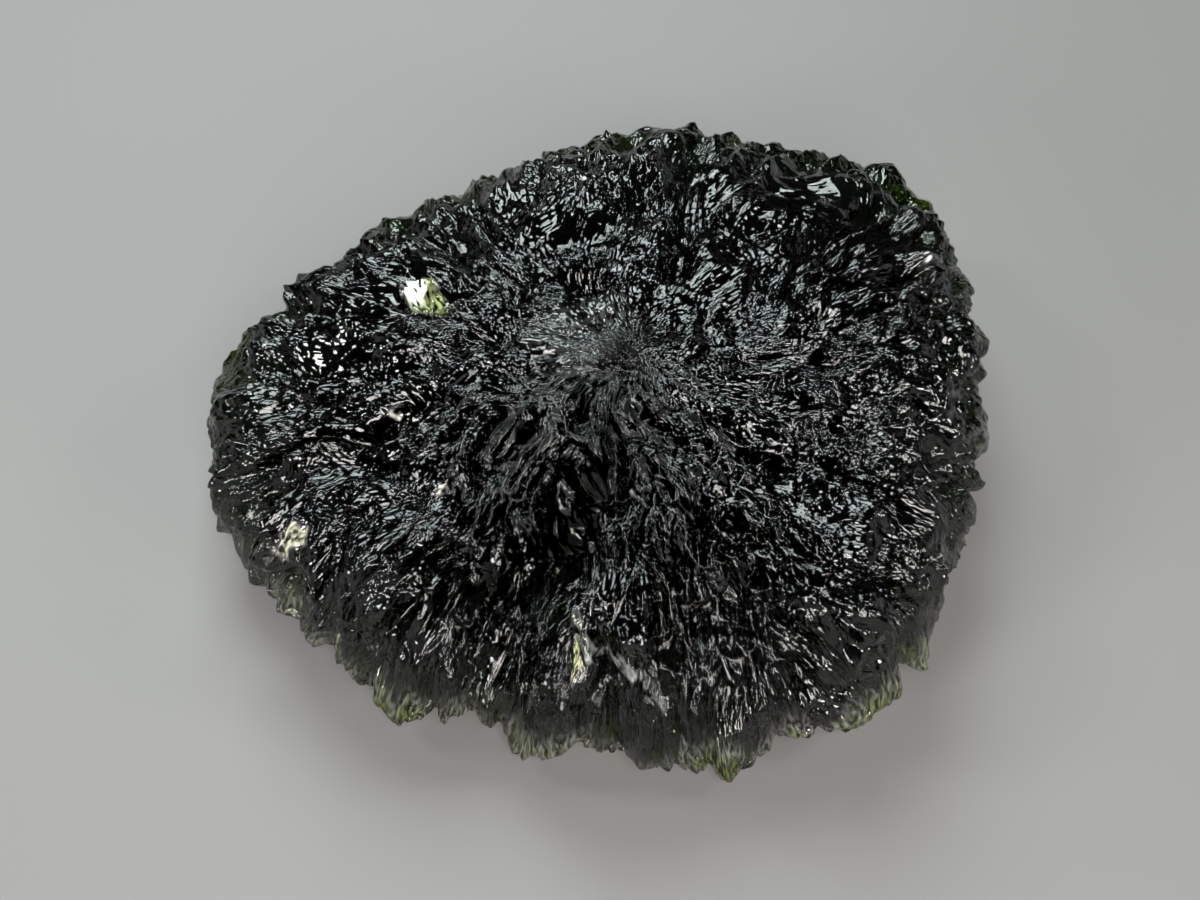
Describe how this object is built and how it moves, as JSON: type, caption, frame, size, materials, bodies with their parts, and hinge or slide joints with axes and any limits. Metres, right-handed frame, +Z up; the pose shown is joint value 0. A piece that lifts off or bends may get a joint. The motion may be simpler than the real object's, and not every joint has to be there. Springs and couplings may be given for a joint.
{
  "type": "moldavite",
  "caption": "Raw moldavite: a domed disc of dark green natural glass, etched into radial furrows and scale-like lobes, resting on a small flat spot.",
  "frame": {"origin": "centre of the small flat spot that the stone rests on", "axes": "+Z up, out of the table; -Y towards the low toothed front rim; +X along the width, to the right seen from the front"},
  "size_m": [0.0368, 0.0369, 0.0115],
  "materials": {
    "moldavite_glass": "deep green natural glass with a glossy etched surface, near black where it is thick"
  },
  "bodies": {
    "root": {"moldavite": "moldavite_glass"}
  },
  "joints": []
}
